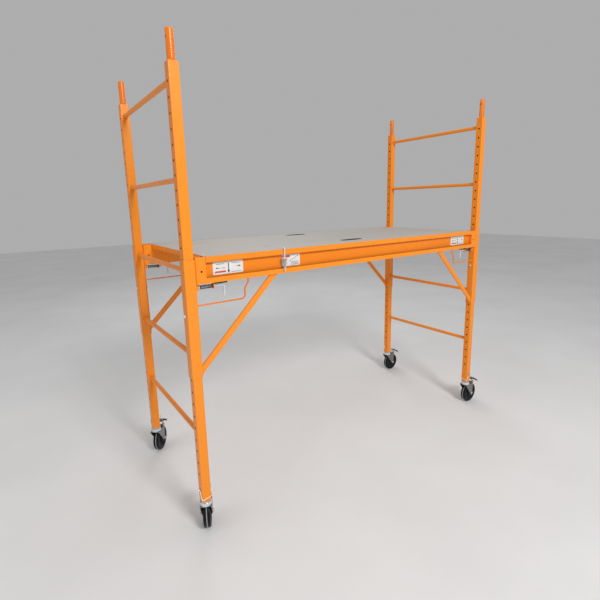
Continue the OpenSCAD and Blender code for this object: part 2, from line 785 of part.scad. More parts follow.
post(-1, -1);  // front_left_post
post(-1, 1);  // rear_left_post
post(1, -1);  // front_right_post
post(1, 1);  // rear_right_post
frame_rungs();
stacking_spigots();
caster_stems();
rail(-1);  // front_rail
rail(1);  // rear_rail
rail_end_boxes();
sleeve(-1, -1);  // front_left_sleeve
sleeve(-1, 1);  // rear_left_sleeve
sleeve(1, -1);  // front_right_sleeve
sleeve(1, 1);  // rear_right_sleeve
rail_braces();
pin_guards();
lock_pin_brackets();
pin_guide_bars();
deck_frame();
deck_panel();
deck_bars();
rail_labels();
lock_pin(-1, -1);  // front_left_lock_pin
lock_pin(-1, 1);  // rear_left_lock_pin
lock_pin(1, -1);  // front_right_lock_pin
lock_pin(1, 1);  // rear_right_lock_pin
lock_spring(-1, -1);  // front_left_lock_spring
lock_spring(-1, 1);  // rear_left_lock_spring
lock_spring(1, -1);  // front_right_lock_spring
lock_spring(1, 1);  // rear_right_lock_spring
safety_pin(-1, -1);  // front_left_safety_pin
safety_pin(-1, 1);  // rear_left_safety_pin
safety_pin(1, -1);  // front_right_safety_pin
safety_pin(1, 1);  // rear_right_safety_pin
latch_bracket();
latch_rod();
latch_washer();
latch_spring();
caster_pin(-1, -1);  // front_left_caster_pin
caster_pin(-1, 1);  // rear_left_caster_pin
caster_pin(1, -1);  // front_right_caster_pin
caster_pin(1, 1);  // rear_right_caster_pin
fork(-1, -1);  // front_left_fork
fork(-1, 1);  // rear_left_fork
fork(1, -1);  // front_right_fork
fork(1, 1);  // rear_right_fork
wheel(-1, -1);  // front_left_wheel
wheel(-1, 1);  // rear_left_wheel
wheel(1, -1);  // front_right_wheel
wheel(1, 1);  // rear_right_wheel
axle(-1, -1);  // front_left_axle
axle(-1, 1);  // rear_left_axle
axle(1, -1);  // front_right_axle
axle(1, 1);  // rear_right_axle
pedal(-1, -1);  // front_left_pedal
pedal(-1, 1);  // rear_left_pedal
pedal(1, -1);  // front_right_pedal
pedal(1, 1);  // rear_right_pedal
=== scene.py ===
import json
import math

import bmesh
import bpy
from mathutils import Matrix, Vector


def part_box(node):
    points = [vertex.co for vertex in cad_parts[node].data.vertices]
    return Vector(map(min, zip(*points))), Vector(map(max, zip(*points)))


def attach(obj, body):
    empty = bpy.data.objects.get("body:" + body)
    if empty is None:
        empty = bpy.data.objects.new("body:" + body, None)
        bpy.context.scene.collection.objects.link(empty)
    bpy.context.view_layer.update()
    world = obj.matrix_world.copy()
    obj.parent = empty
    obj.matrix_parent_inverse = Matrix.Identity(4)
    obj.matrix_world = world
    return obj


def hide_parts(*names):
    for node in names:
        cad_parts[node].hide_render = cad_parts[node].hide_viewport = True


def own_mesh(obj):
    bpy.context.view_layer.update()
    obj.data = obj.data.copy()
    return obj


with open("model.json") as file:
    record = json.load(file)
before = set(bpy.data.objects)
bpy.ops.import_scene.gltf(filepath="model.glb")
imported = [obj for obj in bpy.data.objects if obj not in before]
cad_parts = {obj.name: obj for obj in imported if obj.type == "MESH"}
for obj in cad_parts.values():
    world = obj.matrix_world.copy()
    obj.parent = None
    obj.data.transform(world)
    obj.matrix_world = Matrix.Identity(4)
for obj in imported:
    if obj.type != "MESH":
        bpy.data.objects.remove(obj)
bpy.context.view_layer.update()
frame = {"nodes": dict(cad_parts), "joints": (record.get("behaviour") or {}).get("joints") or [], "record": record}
NODES = frame["nodes"]
JOINTS = {joint["name"]: joint for joint in frame["joints"]}
# Each corner's name, its side along X and its end along Y
CORNERS = [("front_left", -1, -1), ("rear_left", -1, 1), ("front_right", 1, -1), ("rear_right", 1, 1)]

# ---------------------------------------------------------------- materials


def new_material(name, color, rough, metal=0.0, coat=0.0, specular=0.5):
    """A principled material, with the sockets that are the same all over already set."""
    material = bpy.data.materials.new(name)
    material.use_nodes = True
    shader = material.node_tree.nodes["Principled BSDF"]
    shader.inputs["Base Color"].default_value = (*color, 1)
    shader.inputs["Roughness"].default_value = rough
    shader.inputs["Metallic"].default_value = metal
    shader.inputs["Coat Weight"].default_value = coat
    shader.inputs["Specular IOR Level"].default_value = specular
    return material, material.node_tree, shader


def noise(tree, scale, detail=4.0, stretch=(1, 1, 1), rough=0.55):
    """Noise in the object's own metres, drawn out along an axis by stretch."""
    coords = tree.nodes.new("ShaderNodeTexCoord")
    mapping = tree.nodes.new("ShaderNodeMapping")
    mapping.inputs["Scale"].default_value = stretch
    texture = tree.nodes.new("ShaderNodeTexNoise")
    texture.inputs["Scale"].default_value = scale
    texture.inputs["Detail"].default_value = detail
    texture.inputs["Roughness"].default_value = rough
    tree.links.new(coords.outputs["Object"], mapping.inputs["Vector"])
    tree.links.new(mapping.outputs["Vector"], texture.inputs["Vector"])
    return texture.outputs["Fac"]


def ramp(tree, factor, stops):
    """Colours between (place, color) stops."""
    node = tree.nodes.new("ShaderNodeValToRGB")
    for element, (place, color) in zip(node.color_ramp.elements, (stops[0], stops[-1])):
        element.position, element.color = place, (*color, 1)
    for place, color in stops[1:-1]:
        node.color_ramp.elements.new(place).color = (*color, 1)
    tree.links.new(factor, node.inputs["Fac"])
    return node.outputs["Color"]


def spread(tree, factor, low, high):
    """Noise, which keeps mostly within 0.3 to 0.7, drawn out between two values."""
    node = tree.nodes.new("ShaderNodeMapRange")
    node.inputs["From Min"].default_value, node.inputs["From Max"].default_value = 0.3, 0.7
    node.inputs["To Min"].default_value, node.inputs["To Max"].default_value = low, high
    tree.links.new(factor, node.inputs["Value"])
    return node.outputs["Result"]


def mix(tree, factor, a, b):
    """One colour over another by a factor. Each is an RGB tuple or another node's output."""
    node = tree.nodes.new("ShaderNodeMix")
    node.data_type = "RGBA"
    tree.links.new(factor, node.inputs["Factor"])
    for socket, value in ((node.inputs["A"], a), (node.inputs["B"], b)):
        if isinstance(value, tuple):
            socket.default_value = (*value, 1)
        else:
            tree.links.new(value, socket)
    return node.outputs["Result"]


def bump(tree, shader, height, distance, strength=0.5):
    node = tree.nodes.new("ShaderNodeBump")
    node.inputs["Distance"].default_value = distance
    node.inputs["Strength"].default_value = strength
    tree.links.new(height, node.inputs["Height"])
    tree.links.new(node.outputs["Normal"], shader.inputs["Normal"])


def edge_mask(tree, low, high):
    """One on a sharp outer edge, nought on a flat, by the mesh's pointiness."""
    geometry = tree.nodes.new("ShaderNodeNewGeometry")
    node = tree.nodes.new("ShaderNodeMapRange")
    node.inputs["From Min"].default_value, node.inputs["From Max"].default_value = low, high
    tree.links.new(geometry.outputs["Pointiness"], node.inputs["Value"])
    return node.outputs["Result"]


def orange_paint():
    material, tree, shader = new_material("orange_paint", (0.86, 0.22, 0.012), 0.3, coat=0.16, specular=0.22)
    shader.inputs["Coat Roughness"].default_value = 0.12
    base = ramp(tree, noise(tree, 3.2, 3),
                [(0.3, (0.80, 0.170, 0.003)), (0.55, (0.85, 0.190, 0.004)), (0.75, (0.90, 0.215, 0.005))])
    dust = ramp(tree, noise(tree, 46, 6, (1, 1, 0.35)), [(0.60, (0, 0, 0)), (0.74, (0.35, 0.35, 0.35))])
    worn = mix(tree, dust, base, (0.56, 0.13, 0.012))
    # Painted highlight: the outer edges are a lighter orange
    painted = mix(tree, edge_mask(tree, 0.53, 0.62), worn, (0.95, 0.29, 0.02))
    # Painted shade inside the tubes and deep in corners, darkened where the piece occludes itself
    hollow = tree.nodes.new("ShaderNodeAmbientOcclusion")
    hollow.samples = 6
    hollow.only_local = True
    hollow.inputs["Distance"].default_value = 0.04
    self_shade = ramp(tree, hollow.outputs["AO"],
                 [(0.0, (1, 1, 1)), (0.22, (0.75, 0.75, 0.75)), (0.45, (0.22, 0.22, 0.22)), (0.8, (0, 0, 0))])
    tree.links.new(mix(tree, self_shade, painted, (0.045, 0.014, 0.004)), shader.inputs["Base Color"])
    tree.links.new(spread(tree, noise(tree, 18, 5), 0.22, 0.38), shader.inputs["Roughness"])
    bump(tree, shader, noise(tree, 520, 2), 0.00018, 0.35)
    return material


def zinc_plate(name, tint):
    """Plated steel, darker with a lower tint."""
    material, tree, shader = new_material(name, (0.62 * tint, 0.63 * tint, 0.64 * tint), 0.3, metal=1.0)
    tones = [(0.3, (0.44, 0.45, 0.46)), (0.5, (0.64, 0.65, 0.65)), (0.72, (0.80, 0.79, 0.76))]
    tone = ramp(tree, noise(tree, 90, 5), [(place, tuple(c * tint for c in color)) for place, color in tones])
    tree.links.new(tone, shader.inputs["Base Color"])
    tree.links.new(spread(tree, noise(tree, 140, 4, (1, 1, 3)), 0.2, 0.42), shader.inputs["Roughness"])
    bump(tree, shader, noise(tree, 300, 3, (1, 1, 4)), 0.0001, 0.3)
    return material


def bright_steel():
    material, tree, shader = new_material("bright_steel", (0.74, 0.75, 0.77), 0.2, metal=1.0)
    tone = ramp(tree, noise(tree, 120, 4), [(0.35, (0.60, 0.61, 0.63)), (0.65, (0.84, 0.84, 0.85))])
    tree.links.new(tone, shader.inputs["Base Color"])
    tree.links.new(spread(tree, noise(tree, 260, 3), 0.13, 0.3), shader.inputs["Roughness"])
    bump(tree, shader, noise(tree, 700, 2), 0.00005, 0.25)
    return material


def black_plastic():
    material, tree, shader = new_material("black_plastic", (0.012, 0.012, 0.013), 0.45, specular=0.22)
    tone = ramp(tree, noise(tree, 60, 4), [(0.35, (0.008, 0.008, 0.009)), (0.7, (0.02, 0.02, 0.021))])
    tree.links.new(tone, shader.inputs["Base Color"])
    tree.links.new(spread(tree, noise(tree, 90, 4), 0.36, 0.56), shader.inputs["Roughness"])
    bump(tree, shader, noise(tree, 1500, 2), 0.00012, 0.4)
    return material


def wheel_rubber():
    material, tree, shader = new_material("wheel_rubber", (0.008, 0.008, 0.009), 0.36, specular=0.2)
    tone = ramp(tree, noise(tree, 38, 6),
                [(0.35, (0.003, 0.003, 0.004)), (0.62, (0.007, 0.007, 0.008)), (0.85, (0.022, 0.022, 0.022))])
    tree.links.new(tone, shader.inputs["Base Color"])
    tree.links.new(spread(tree, noise(tree, 70, 4), 0.26, 0.46), shader.inputs["Roughness"])
    bump(tree, shader, noise(tree, 900, 3), 0.0001, 0.3)
    return material


def plywood():
    material, tree, shader = new_material("plywood", (0.55, 0.47, 0.38), 0.62)
    grain = noise(tree, 5.5, 8, (0.35, 9, 1), 0.62)
    base = ramp(tree, grain,
                [(0.25, (0.40, 0.365, 0.32)), (0.48, (0.51, 0.475, 0.425)), (0.75, (0.60, 0.565, 0.515))])
    weathered = ramp(tree, noise(tree, 1.9, 5), [(0.38, (0, 0, 0)), (0.7, (0.55, 0.55, 0.55))])
    aged = mix(tree, weathered, base, (0.48, 0.475, 0.455))
    coords = tree.nodes.new("ShaderNodeTexCoord")
    mapping = tree.nodes.new("ShaderNodeMapping")
    mapping.inputs["Scale"].default_value = (1.0, 2.2, 1)
    knots = tree.nodes.new("ShaderNodeTexVoronoi")
    knots.inputs["Scale"].default_value = 2.6
    tree.links.new(coords.outputs["Object"], mapping.inputs["Vector"])
    tree.links.new(mapping.outputs["Vector"], knots.inputs["Vector"])
    knot = ramp(tree, knots.outputs["Distance"],
                [(0.02, (0.62, 0.62, 0.62)), (0.055, (0.2, 0.2, 0.2)), (0.085, (0, 0, 0))])
    tree.links.new(mix(tree, knot, aged, (0.19, 0.125, 0.075)), shader.inputs["Base Color"])
    tree.links.new(spread(tree, grain, 0.52, 0.74), shader.inputs["Roughness"])
    bump(tree, shader, grain, 0.0006, 0.35)
    return material


def label_film(name, color):
    """A smooth coated surface in one slightly faded colour: printed film, ink or a bright plating."""
    material, tree, shader = new_material(name, color, 0.32, coat=0.3)
    faded = tuple(c * 0.86 + 0.02 for c in color)
    tone = ramp(tree, noise(tree, 30, 4), [(0.35, faded), (0.65, color)])
    tree.links.new(tone, shader.inputs["Base Color"])
    tree.links.new(spread(tree, noise(tree, 80, 3), 0.25, 0.42), shader.inputs["Roughness"])
    bump(tree, shader, noise(tree, 120, 2), 0.0001, 0.2)
    return material


ORANGE, ZINC, STEEL, BLACK = orange_paint(), zinc_plate("zinc_plate", 1.0), bright_steel(), black_plastic()
# The zinc copy darkened to 0.4 is painted shade for the forks
SHADED_ZINC, DARK_STEEL = zinc_plate("shaded_zinc", 0.40), zinc_plate("dark_steel", 0.14)
RUBBER, WOOD = wheel_rubber(), plywood()
# A light grey for the tread's moulding ridge, as a painted highlight along the tread
TREAD_HIGHLIGHT = label_film("moulding_line_highlight", (0.36, 0.37, 0.38))
BRIGHT_ZINC = label_film("bright_zinc", (0.66, 0.69, 0.73))
TINNED = label_film("tinned_wire", (0.88, 0.84, 0.68))
WHITE = label_film("label_white", (0.82, 0.82, 0.80))
RED = label_film("label_red", (0.72, 0.06, 0.02))
INK = label_film("label_ink", (0.03, 0.03, 0.035))
SLOTS = {"orange_paint": ORANGE, "zinc_plate": ZINC, "bright_steel": STEEL, "black_plastic": BLACK,
         "wheel_rubber": RUBBER, "plywood": WOOD, "label_film": WHITE}

# Pieces whose look differs from their slot's, by the end of the node's name; the forks' darker zinc is painted
# shade
FINISH_AND_SHADE_OVERRIDES = {"_fork": SHADED_ZINC, "_lock_pin": BRIGHT_ZINC, "_safety_pin": BRIGHT_ZINC,
            "latch_rod": BRIGHT_ZINC}

for part in frame["record"]["subparts"]:
    mesh = NODES[part["node"]].data
    mesh.materials.clear()
    finish = [material for ending, material in FINISH_AND_SHADE_OVERRIDES.items() if part["node"].endswith(ending)]
    mesh.materials.append(finish[0] if finish else SLOTS[part["material_slot"]])

# ---------------------------------------------------------------- shape helpers


SMOOTH_ANGLE = math.radians(38)  # edges sharper than this stay crisp


def finish_mesh(name, bm, material, body, replaces=()):
    """Turns a bmesh into a piece that rides on a body."""
    bmesh.ops.recalc_face_normals(bm, faces=bm.faces)
    mesh = bpy.data.meshes.new(name)
    bm.to_mesh(mesh)
    bm.free()
    piece = bpy.data.objects.new(name, mesh)
    bpy.context.scene.collection.objects.link(piece)
    mesh.materials.append(material)
    mesh.shade_smooth()
    bpy.context.view_layer.objects.active = piece
    mesh.set_sharp_from_angle(angle=SMOOTH_ANGLE)
    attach(piece, body)
    if replaces:
        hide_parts(*replaces)
    return piece


def circle(sides):
    """The angles of an evenly divided turn."""
    return [2 * math.pi * k / sides for k in range(sides)]


def join_rings(bm, a, b):
    """A band of faces between two rings of as many points."""
    for k in range(len(a)):
        n = (k + 1) % len(a)
        bm.faces.new((a[k], a[n], b[n], b[k]))


def add_sweep(bm, points, radius, sides):
    """A round wire along a list of points, with closed ends. The section is carried along without twisting.

    The radius is one number, or a list with one for each point."""
    points = [Vector(p) for p in points]
    last = len(points) - 1
    steps = [(points[min(i + 1, last)] - points[max(i - 1, 0)]).normalized() for i in range(len(points))]
    across = steps[0].orthogonal().normalized()
    rings = []
    for i, (point, step) in enumerate(zip(points, steps)):
        across = (across - step * across.dot(step)).normalized()
        other = step.cross(across)
        r = radius[i] if isinstance(radius, list) else radius
        rings.append([bm.verts.new(point + (across * math.cos(a) + other * math.sin(a)) * r)
                      for a in circle(sides)])
    for a, b in zip(rings, rings[1:]):
        join_rings(bm, a, b)
    bm.faces.new(rings[0])
    bm.faces.new(list(reversed(rings[-1])))


CORNER_SHARE = 0.45  # the most of a straight that one rounded corner takes


def rounded_path(points, radius, steps):
    """The same path with each corner rounded off."""
    points = [Vector(p) for p in points]
    path = [points[0]]
    for before, corner, after in zip(points, points[1:], points[2:]):
        a, b = (before - corner), (after - corner)
        cut = min(radius, a.length * CORNER_SHARE, b.length * CORNER_SHARE)
        start, end = corner + a.normalized() * cut, corner + b.normalized() * cut
        for k in range(steps + 1):
            t = k / steps
            path.append(start * (1 - t) ** 2 + corner * 2 * t * (1 - t) + end * t ** 2)
    return path + [points[-1]]


def add_lathe(bm, profile, centre, axis, sides):
    """Turns a closed profile of (radius, along) about an axis."""
    turn = Vector((0, 0, 1)).rotation_difference(Vector(axis)).to_matrix()
    rings = []
    for radius, along in profile:
        ring = [Vector((radius * math.cos(a), radius * math.sin(a), along)) for a in circle(sides)]
        rings.append([bm.verts.new(Vector(centre) + turn @ point) for point in ring])
    for a, b in zip(rings, rings[1:] + rings[:1]):
        join_rings(bm, a, b)


def add_box(bm, low, high, matrix):
    """A box between two corners of the matrix's own frame."""
    corners = [Vector((x, y, z)) for x in (low[0], high[0])
               for y in (low[1], high[1]) for z in (low[2], high[2])]
    verts = [bm.verts.new(matrix @ c) for c in corners]
    for quad in ((0, 1, 3, 2), (4, 6, 7, 5), (0, 4, 5, 1), (2, 3, 7, 6), (0, 2, 6, 4), (1, 5, 7, 3)):
        bm.faces.new([verts[i] for i in quad])


def bevel(piece, width, segments=2):
    modifier = piece.modifiers.new("bevel", "BEVEL")
    modifier.width, modifier.segments, modifier.limit_method = width, segments, "ANGLE"


def add_plate(bm, outline, front_y, back_y):
    """A thin closed plate between two planes across Y, from an outline of (x, z)."""
    front = [bm.verts.new((x, front_y, z)) for x, z in outline]
    back = [bm.verts.new((x, back_y, z)) for x, z in outline]
    bm.faces.new(front)
    bm.faces.new(list(reversed(back)))
    for k in range(len(outline)):
        n = (k + 1) % len(outline)
        bm.faces.new((front[k], back[k], back[n], front[n]))


# ---------------------------------------------------------------- springs


POINTS_PER_TURN = 20


def helix(start, end, radius, turns, wire):
    """Points of a coil between two points, with its end turns closed up."""
    axis = (end - start).normalized()
    across = axis.orthogonal().normalized()
    other = axis.cross(across)
    length = (end - start).length - wire
    count = int(turns * POINTS_PER_TURN)
    points = []
    for k in range(count + 1):
        angle = 2 * math.pi * k / POINTS_PER_TURN
        turn = k / POINTS_PER_TURN
        inner = min(max(turn - 1, 0), turns - 2) / (turns - 2)
        closed = wire * min(turn, 1) + wire * max(turn - (turns - 1), 0)
        along = wire / 2 + closed + (length - 2 * wire) * inner
        points.append(start + axis * along + (across * math.cos(angle) + other * math.sin(angle)) * radius)
    return points


LOCK_WIRE, LOCK_TURNS = 0.0021, 12
LATCH_WIRE, LATCH_TURNS = 0.0014, 8
SPRING_SIDES = 8

for corner, side, _ in CORNERS:
    low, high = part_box(corner + "_lock_spring")
    middle = (low + high) / 2
    ends = [Vector((low.x, middle.y, middle.z)), Vector((high.x, middle.y, middle.z))]
    if side > 0:
        ends.reverse()
    coil_radius = (high.z - low.z) / 2 - LOCK_WIRE / 2
    bm = bmesh.new()
    add_sweep(bm, helix(ends[0], ends[1], coil_radius, LOCK_TURNS, LOCK_WIRE), LOCK_WIRE / 2, SPRING_SIDES)
    coil = finish_mesh(corner + "_lock_coil", bm, DARK_STEEL, "platform",
                       [corner + "_lock_spring"])
    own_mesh(coil)

low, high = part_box("latch_spring")
middle = (low + high) / 2
ends = [Vector((middle.x, middle.y, low.z)), Vector((middle.x, middle.y, high.z))]
coil_radius = (high.x - low.x) / 2 - LATCH_WIRE / 2
bm = bmesh.new()
add_sweep(bm, helix(ends[0], ends[1], coil_radius, LATCH_TURNS, LATCH_WIRE), LATCH_WIRE / 2, SPRING_SIDES)
coil = finish_mesh("latch_coil", bm, STEEL, "platform", ["latch_spring"])
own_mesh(coil)

# ---------------------------------------------------------------- casters

WHEEL_R = 0.0625
TREAD_SIDES, CORE_SIDES, CUP_SIDES = 96, 80, 64

# Profiles as (radius, along the axle). SIDE_WALL, SHOULDER and WEB are one half, which mirrored() completes.
HALF_TYRE, HALF_HUB = 0.0160, 0.0208
SIDE_WALL = [(0.0455, HALF_TYRE - 0.0030), (0.0462, HALF_TYRE - 0.0012),
             (0.0480, HALF_TYRE - 0.0004), (0.0500, HALF_TYRE - 0.0007)]
SHOULDER = [(WHEEL_R - 0.0052 + 0.005 * math.cos(a), 0.0100 + 0.0052 * math.sin(a))
            for a in [math.radians(d) for d in range(90, -1, -15)]]
GROOVE = [(WHEEL_R - 0.0002, 0.0024), (WHEEL_R - 0.0006, 0.0019), (WHEEL_R - 0.0006, 0.0),
          (WHEEL_R - 0.0006, -0.0019), (WHEEL_R - 0.0002, -0.0024)]
BORE = [(0.0440, -HALF_TYRE + 0.006), (0.0440, HALF_TYRE - 0.006)]
RIDGE = [(WHEEL_R - 0.0012, 0.0020), (WHEEL_R, 0.0016), (WHEEL_R, -0.0016), (WHEEL_R - 0.0012, -0.0020)]
WEB = [(0.0454, 0.0115), (0.0440, 0.0130), (0.0405, 0.0132), (0.0385, 0.0105), (0.0230, 0.0085),
       (0.0180, 0.0105), (0.0165, 0.0165), (0.0150, HALF_HUB - 0.0006), (0.0140, HALF_HUB),
       (0.0075, HALF_HUB)]
AXLE_HOLE = [(0.0053, HALF_HUB - 0.0012), (0.0053, -HALF_HUB + 0.0012)]
RIBS, RIB_REACH, RIB_HALF, RIB_DEPTH = 10, (0.0165, 0.0405), 0.0011, (0.007, 0.0125)

# The bright cup round the swivel bearing, as (radius, below the fork's crown)
SWIVEL_CUP = [(0.0241, -0.0172), (0.0246, -0.0164), (0.0246, -0.0108), (0.0243, -0.0102),
              (0.0243, -0.0094), (0.0246, -0.0088), (0.0246, -0.0046), (0.0240, -0.0026),
              (0.0226, -0.0016), (0.0226, -0.0030), (0.0236, -0.0060), (0.0236, -0.0166)]

# The pedal's sloping toe, as (ahead of the swivel, 0, height), and the pad on it
PEDAL_SHELF, PEDAL_TOE = Vector((0.067, 0, 0.152)), Vector((0.118, 0, 0.121))
PAD_SHORT = 0.0055


def mirrored(profile):
    """The other half of a profile about the wheel's middle plane."""
    return [(radius, -along) for radius, along in reversed(profile)]


for corner, _, _ in CORNERS:
    pivot = JOINTS[corner + "_swivel_turn"]["pos_m"]
    spin = JOINTS[corner + "_wheel_spin"]
    centre, axis = Vector(spin["pos_m"]), Vector(spin["axis"])

    # Tyre: a crowned tread with a groove, rounded shoulders and a stepped side wall
    profile = SIDE_WALL + SHOULDER + GROOVE + mirrored(SHOULDER) + mirrored(SIDE_WALL) + BORE
    bm = bmesh.new()
    add_lathe(bm, profile, centre, axis, TREAD_SIDES)
    finish_mesh(corner + "_tyre", bm, RUBBER, corner + "_roller", [corner + "_wheel"])

    # A moulding ridge round the tread, coloured light grey as a painted highlight
    bm = bmesh.new()
    add_lathe(bm, RIDGE, centre, axis, TREAD_SIDES)
    finish_mesh(corner + "_moulding_line_highlight", bm, TREAD_HIGHLIGHT, corner + "_roller")

    # Core: a moulded disc with a dished web, a raised hub and ribs on both faces
    bm = bmesh.new()
    add_lathe(bm, WEB + AXLE_HOLE + mirrored(WEB), centre, axis, CORE_SIDES)
    turn = Vector((0, 0, 1)).rotation_difference(axis).to_matrix().to_4x4()
    for k in range(RIBS):
        place = Matrix.Translation(centre) @ turn @ Matrix.Rotation(2 * math.pi * k / RIBS, 4, "Z")
        for face in (-1, 1):
            near, far = sorted(face * depth for depth in RIB_DEPTH)
            add_box(bm, (RIB_REACH[0], -RIB_HALF, near), (RIB_REACH[1], RIB_HALF, far), place)
    finish_mesh(corner + "_core", bm, BLACK, corner + "_roller")

    top = Vector((pivot[0], pivot[1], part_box(corner + "_fork")[1].z))
    bm = bmesh.new()
    add_lathe(bm, SWIVEL_CUP, top, (0, 0, 1), CUP_SIDES)
    finish_mesh(corner + "_race", bm, BRIGHT_ZINC, corner + "_swivel")

    # The foot pad on the pedal's toe: a moulded black core with side ribs under a ridged, bright tread
    heading = Vector((axis.y, -axis.x, 0))
    base = Matrix(((heading.x, axis.x, 0, pivot[0]), (heading.y, axis.y, 0, pivot[1]),
                   (0, 0, 1, 0), (0, 0, 0, 1)))
    run = PEDAL_TOE - PEDAL_SHELF
    slope = math.atan2(-run.z, run.x)
    pad = run.length - PAD_SHORT
    plate = base @ Matrix.Translation(PEDAL_SHELF) @ Matrix.Rotation(slope, 4, "Y")
    bm = bmesh.new()
    add_box(bm, (0.002, -0.0165, 0.0), (pad - 0.003, 0.0165, 0.0080), plate)
    for k in range(5):
        x = 0.005 + k * 0.0092
        add_box(bm, (x, -0.0180, 0.0014), (x + 0.0050, 0.0180, 0.0066), plate)
    bevel(finish_mesh(corner + "_pedal_core", bm, BLACK, corner + "_brake"), 0.0012, 3)
    bm = bmesh.new()
    add_box(bm, (-0.002, -0.0185, 0.0080), (pad, 0.0185, 0.0104), plate)
    add_box(bm, (pad - 0.0024, -0.0185, 0.0046), (pad, 0.0185, 0.0082), plate)
    for k in range(6):
        x = 0.006 + k * 0.0078
        add_box(bm, (x, -0.0135, 0.0102), (x + 0.0026, 0.0135, 0.0114), plate)
    bevel(finish_mesh(corner + "_pedal_tread", bm, BRIGHT_ZINC, corner + "_brake"), 0.0006)

# ---------------------------------------------------------------- caster pins

# The pin as (millimetres along it, radius in metres), from its head to its tip
PIN_PROFILE = [(-30, 0.0050), (-29.4, 0.0060), (-27, 0.0060), (-26.99, 0.0040), (25.6, 0.0040), (27, 0.0028)]
# The bail's bends in millimetres: along the pin, outwards from the post and up
BAIL_SIDE = 21.6
BAIL_CORNERS = [(-BAIL_SIDE, -2.5, 0), (-BAIL_SIDE, 8, -12), (-BAIL_SIDE, 21.4, -38),
                (BAIL_SIDE, 21.4, -30), (BAIL_SIDE, 9, -11), (BAIL_SIDE, -3, 1)]
# The eye of the wire round the pin, as (radius, along the pin) in metres
BAIL_EYE = [(0.0040, -0.0016), (0.0056, -0.0014), (0.0056, 0.0014), (0.0040, 0.0016)]
PIN_SIDES, EYE_SIDES, BAIL_SIDES, LOOP_SIDES, LOOP_POINTS = 24, 24, 12, 10, 36
BAIL_WIRE, LOOP_WIRE = 0.0018, 0.0012
BAIL_ROUND, BAIL_STEPS = 0.005, 8

for corner, side, _ in CORNERS:
    joint = JOINTS[corner + "_bail_swing"]
    origin, along = Vector(joint["pos_m"]), Vector(joint["axis"])
    low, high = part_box(corner + "_caster_pin")
    outward = (low + high) / 2 - origin
    outward = Vector((outward.x, outward.y, 0))
    outward = (outward - along * outward.dot(along)).normalized()
    head = along * (-1 if side > 0 else 1)
    up = Vector((0, 0, 1))

    def at(x, y, z):
        """A point from millimetres along the pin, outwards from the post and up."""
        return origin - head * x * 0.001 + outward * y * 0.001 + up * z * 0.001

    bm = bmesh.new()
    places, radii = zip(*PIN_PROFILE)
    add_sweep(bm, [at(x, 0, 0) for x in places], list(radii), PIN_SIDES)
    finish_mesh(corner + "_retaining_pin", bm, STEEL, corner + "_keeper",
                [corner + "_caster_pin"])
    path = rounded_path([at(*place) for place in BAIL_CORNERS], BAIL_ROUND, BAIL_STEPS)
    bm = bmesh.new()
    add_sweep(bm, path, BAIL_WIRE, BAIL_SIDES)
    add_lathe(bm, BAIL_EYE, at(BAIL_SIDE, 0, 0), along, EYE_SIDES)
    finish_mesh(corner + "_bail", bm, TINNED, corner + "_keeper")
    # The finger loop of tinned wire at the pin's head
    bm = bmesh.new()
    loop = [at(-31.5 - 4.5 * math.cos(a), 0.4 * math.sin(a), 6 + 8 * math.sin(a))
            for a in [2 * math.pi * k / LOOP_POINTS for k in range(LOOP_POINTS + 1)]]
    add_sweep(bm, loop, LOOP_WIRE, LOOP_SIDES)
    finish_mesh(corner + "_pin_loop", bm, TINNED, corner + "_keeper")

# ---------------------------------------------------------------- labels

low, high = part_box("rail_labels")
web = high.y
WIDE_LABEL, MIDDLE_LABEL, MIDDLE_START = 0.128, 0.094, 0.310
spans = [(low.x, WIDE_LABEL), (low.x + MIDDLE_START, MIDDLE_LABEL), (high.x - WIDE_LABEL, WIDE_LABEL)]
labels = [(start, start + width, low.z, high.z) for start, width in spans]
SHEET_LIFT, PRINT_LIFT, PRINT_BACK = 0.0004, 0.0007, 0.0001
PRINT_ROUND, LINE_ROUND, LINE_HALF = 0.002, 0.0003, 0.0007


def add_sticker(bm, x0, x1, z0, z1, lift, radius=0.004):
    """A thin plate with rounded corners on the web, facing the front."""
    left, right, bottom, top = x0 + radius, x1 - radius, z0 + radius, z1 - radius
    outline = []
    for cx, cz, first in ((right, top, 0), (left, top, 90), (left, bottom, 180), (right, bottom, 270)):
        for angle in (math.radians(first + a) for a in (0, 30, 60, 90)):
            outline.append((cx + radius * math.cos(angle), cz + radius * math.sin(angle)))
    add_plate(bm, outline, web - lift, web)


bm = bmesh.new()
for box in labels:
    add_sticker(bm, *box, SHEET_LIFT)
finish_mesh("label_sheets", bm, WHITE, "platform", ["rail_labels"])
reds, inks = bmesh.new(), bmesh.new()


def add_arrow(tail, tip, width):
    """A thin plate in the shape of an arrow on a label, from tail to tip, each as (x, z)."""
    a, b = Vector(tail), Vector(tip)
    along = (b - a).normalized()
    aside = Vector((-along.y, along.x))
    neck = b - along * width * 2.2
    outline = [a + aside * width * 0.35, neck + aside * width * 0.35, neck + aside * width, b,
               neck - aside * width, neck - aside * width * 0.35, a - aside * width * 0.35]
    add_plate(inks, [(p.x, p.y) for p in outline], web - PRINT_LIFT, web - PRINT_BACK)


